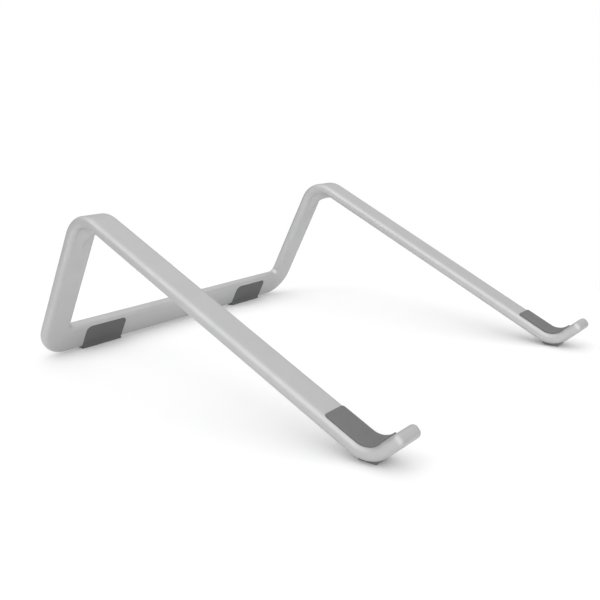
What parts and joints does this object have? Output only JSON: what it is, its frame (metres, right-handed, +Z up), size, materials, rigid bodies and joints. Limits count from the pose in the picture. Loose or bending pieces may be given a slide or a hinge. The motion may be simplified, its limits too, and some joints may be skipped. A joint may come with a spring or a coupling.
{
  "type": "laptop stand",
  "caption": "Low laptop stand bent from one aluminium plate: U-shaped rear frame, sloping arms with upturned hooks, rubber pads and feet.",
  "frame": {"origin": "centre of the stand's width and depth, on the desk surface under the feet", "axes": "+X to the user's right, +Z up; the user sits on the -Y side and the crossbar is on the +Y side"},
  "size_m": [0.265, 0.2924, 0.1049],
  "materials": {
    "anodised_aluminium": "bead-blasted and clear anodised, satin silver",
    "pad_rubber": "soft matte silicone, dark grey",
    "front_foot_rubber": "matte silicone, dark grey",
    "rear_foot_rubber": "matte silicone, dark grey",
    "adhesive_film": "double-sided adhesive film, hidden"
  },
  "bodies": {
    "root": {"frame": "anodised_aluminium", "left_arm_pad": "pad_rubber", "right_arm_pad": "pad_rubber", "left_front_foot": "front_foot_rubber", "right_front_foot": "front_foot_rubber", "left_rear_foot": "rear_foot_rubber", "right_rear_foot": "rear_foot_rubber", "left_arm_pad_film": "adhesive_film", "right_arm_pad_film": "adhesive_film", "left_front_foot_film": "adhesive_film", "right_front_foot_film": "adhesive_film", "left_rear_foot_film": "adhesive_film", "right_rear_foot_film": "adhesive_film"}
  },
  "joints": []
}
